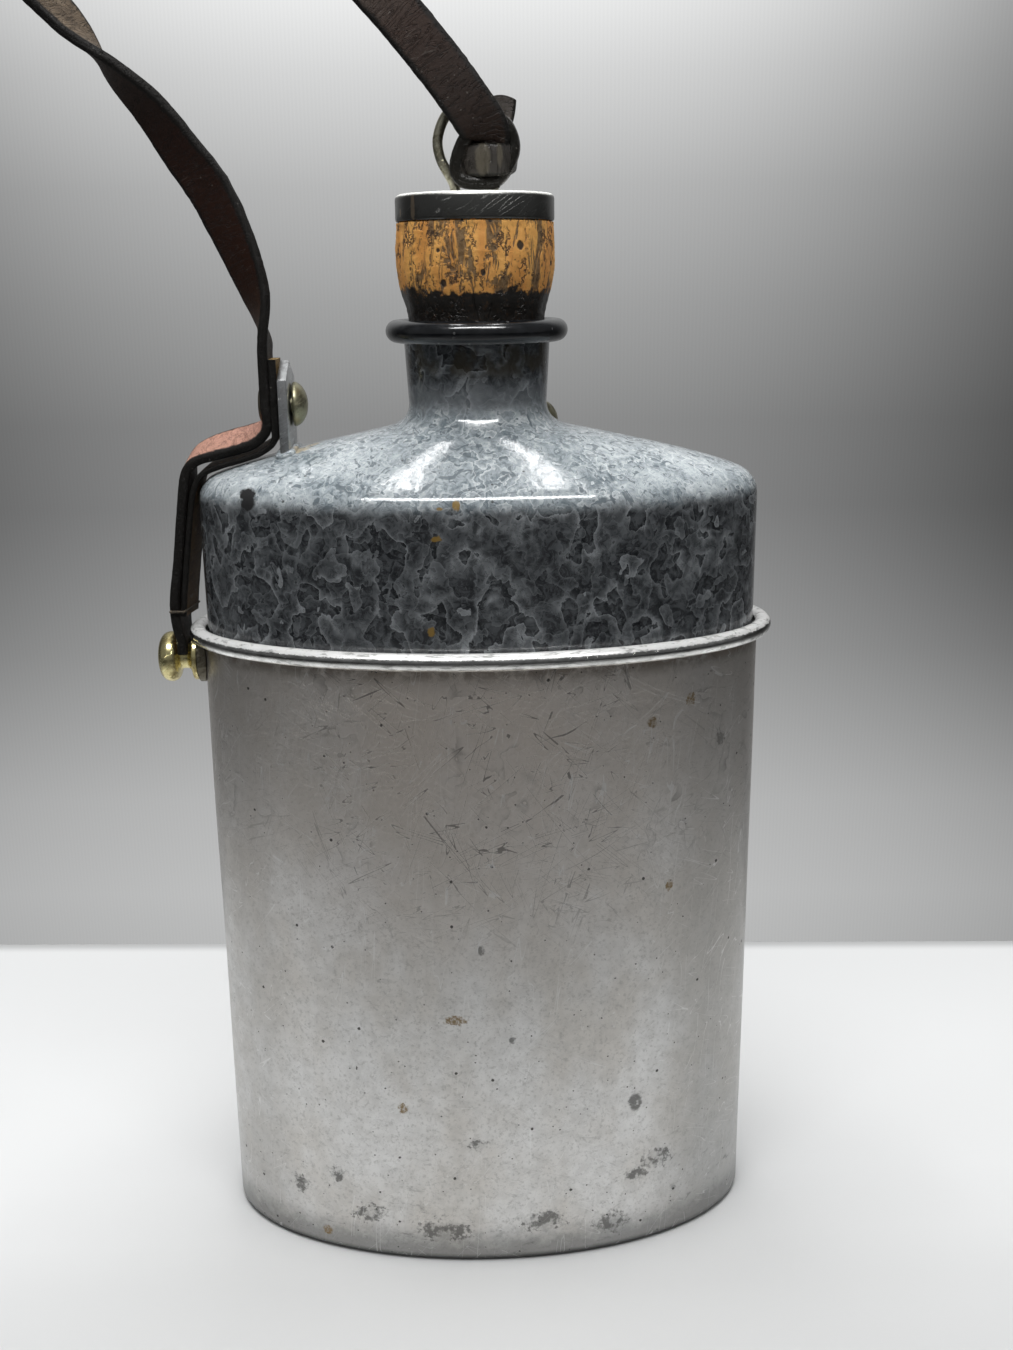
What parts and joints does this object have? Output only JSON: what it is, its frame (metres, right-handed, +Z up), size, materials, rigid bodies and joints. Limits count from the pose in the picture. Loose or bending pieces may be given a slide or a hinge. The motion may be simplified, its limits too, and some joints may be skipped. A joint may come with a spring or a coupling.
{
  "type": "field canteen",
  "caption": "Oval enamelled steel bottle with corked neck, standing in a deep aluminium cup, with a leather strap from the stopper to a shoulder lug and down to a stud.",
  "frame": {"origin": "centre of the cup's flat base", "axes": "+Z up along the bottle, +X to the right of the front view, -Y towards the front"},
  "size_m": [0.1777, 0.0752, 0.3397],
  "materials": {
    "cup_aluminium": "satin, scratched and pitted",
    "rim_wire_steel": "drawn wire",
    "polished_stud_brass": "polished by use",
    "dark_washer_metal": "dull and dark",
    "grey_enamel": "glossy enamel on steel, mottled slate grey and pale grey",
    "black_lip_enamel": "glossy black enamel on steel",
    "bare_lug_metal": "bare, ground edges",
    "aged_rivet_brass": "aged",
    "strap_leather": "worn dark brown, black edges",
    "lining_leather": "rough, frayed",
    "stopper_cork": "natural cork, cracked, darker near the mouth",
    "tarnished_cap_metal": "tarnished",
    "eye_wire_metal": "aged, brassy tint",
    "linen_thread": "twisted thread"
  },
  "bodies": {
    "cup": {"cup_shell": "cup_aluminium", "rim_wire": "rim_wire_steel", "cup_stud": "polished_stud_brass", "stud_washer": "dark_washer_metal"},
    "bottle": {"bottle_body": "grey_enamel", "bottle_base": "grey_enamel", "lip_ring": "black_lip_enamel", "strap_lug": "bare_lug_metal", "lug_rivet": "aged_rivet_brass", "rivet_burr": "aged_rivet_brass", "rear_button": "aged_rivet_brass", "carry_strap": "strap_leather", "strap_lining": "lining_leather"},
    "stopper": {"stopper_cork": "stopper_cork", "stopper_cap": "tarnished_cap_metal", "stopper_eye": "eye_wire_metal", "eye_washer": "dark_washer_metal", "hitch_turn": "strap_leather", "strap_tip": "strap_leather"},
    "tail": {"tail_strap": "strap_leather", "tail_lining": "lining_leather", "tail_stitch": "linen_thread"}
  },
  "joints": [
    {"name": "bottle_lift", "type": "slide", "parent": "cup", "child": "bottle", "axis": [0, 0, 1], "range_m": [0, 0.16]},
    {"name": "stopper_pull", "type": "slide", "parent": "bottle", "child": "stopper", "axis": [0, 0, 1], "range_m": [0, 0.035], "deforming": ["carry_strap"]},
    {"name": "tail_swing", "type": "hinge", "parent": "bottle", "child": "tail", "pos_m": [-0.0645, 0, 0.192], "axis": [0, 1, 0], "range_deg": [0, 90], "deforming": ["tail_strap", "tail_lining"]}
  ]
}
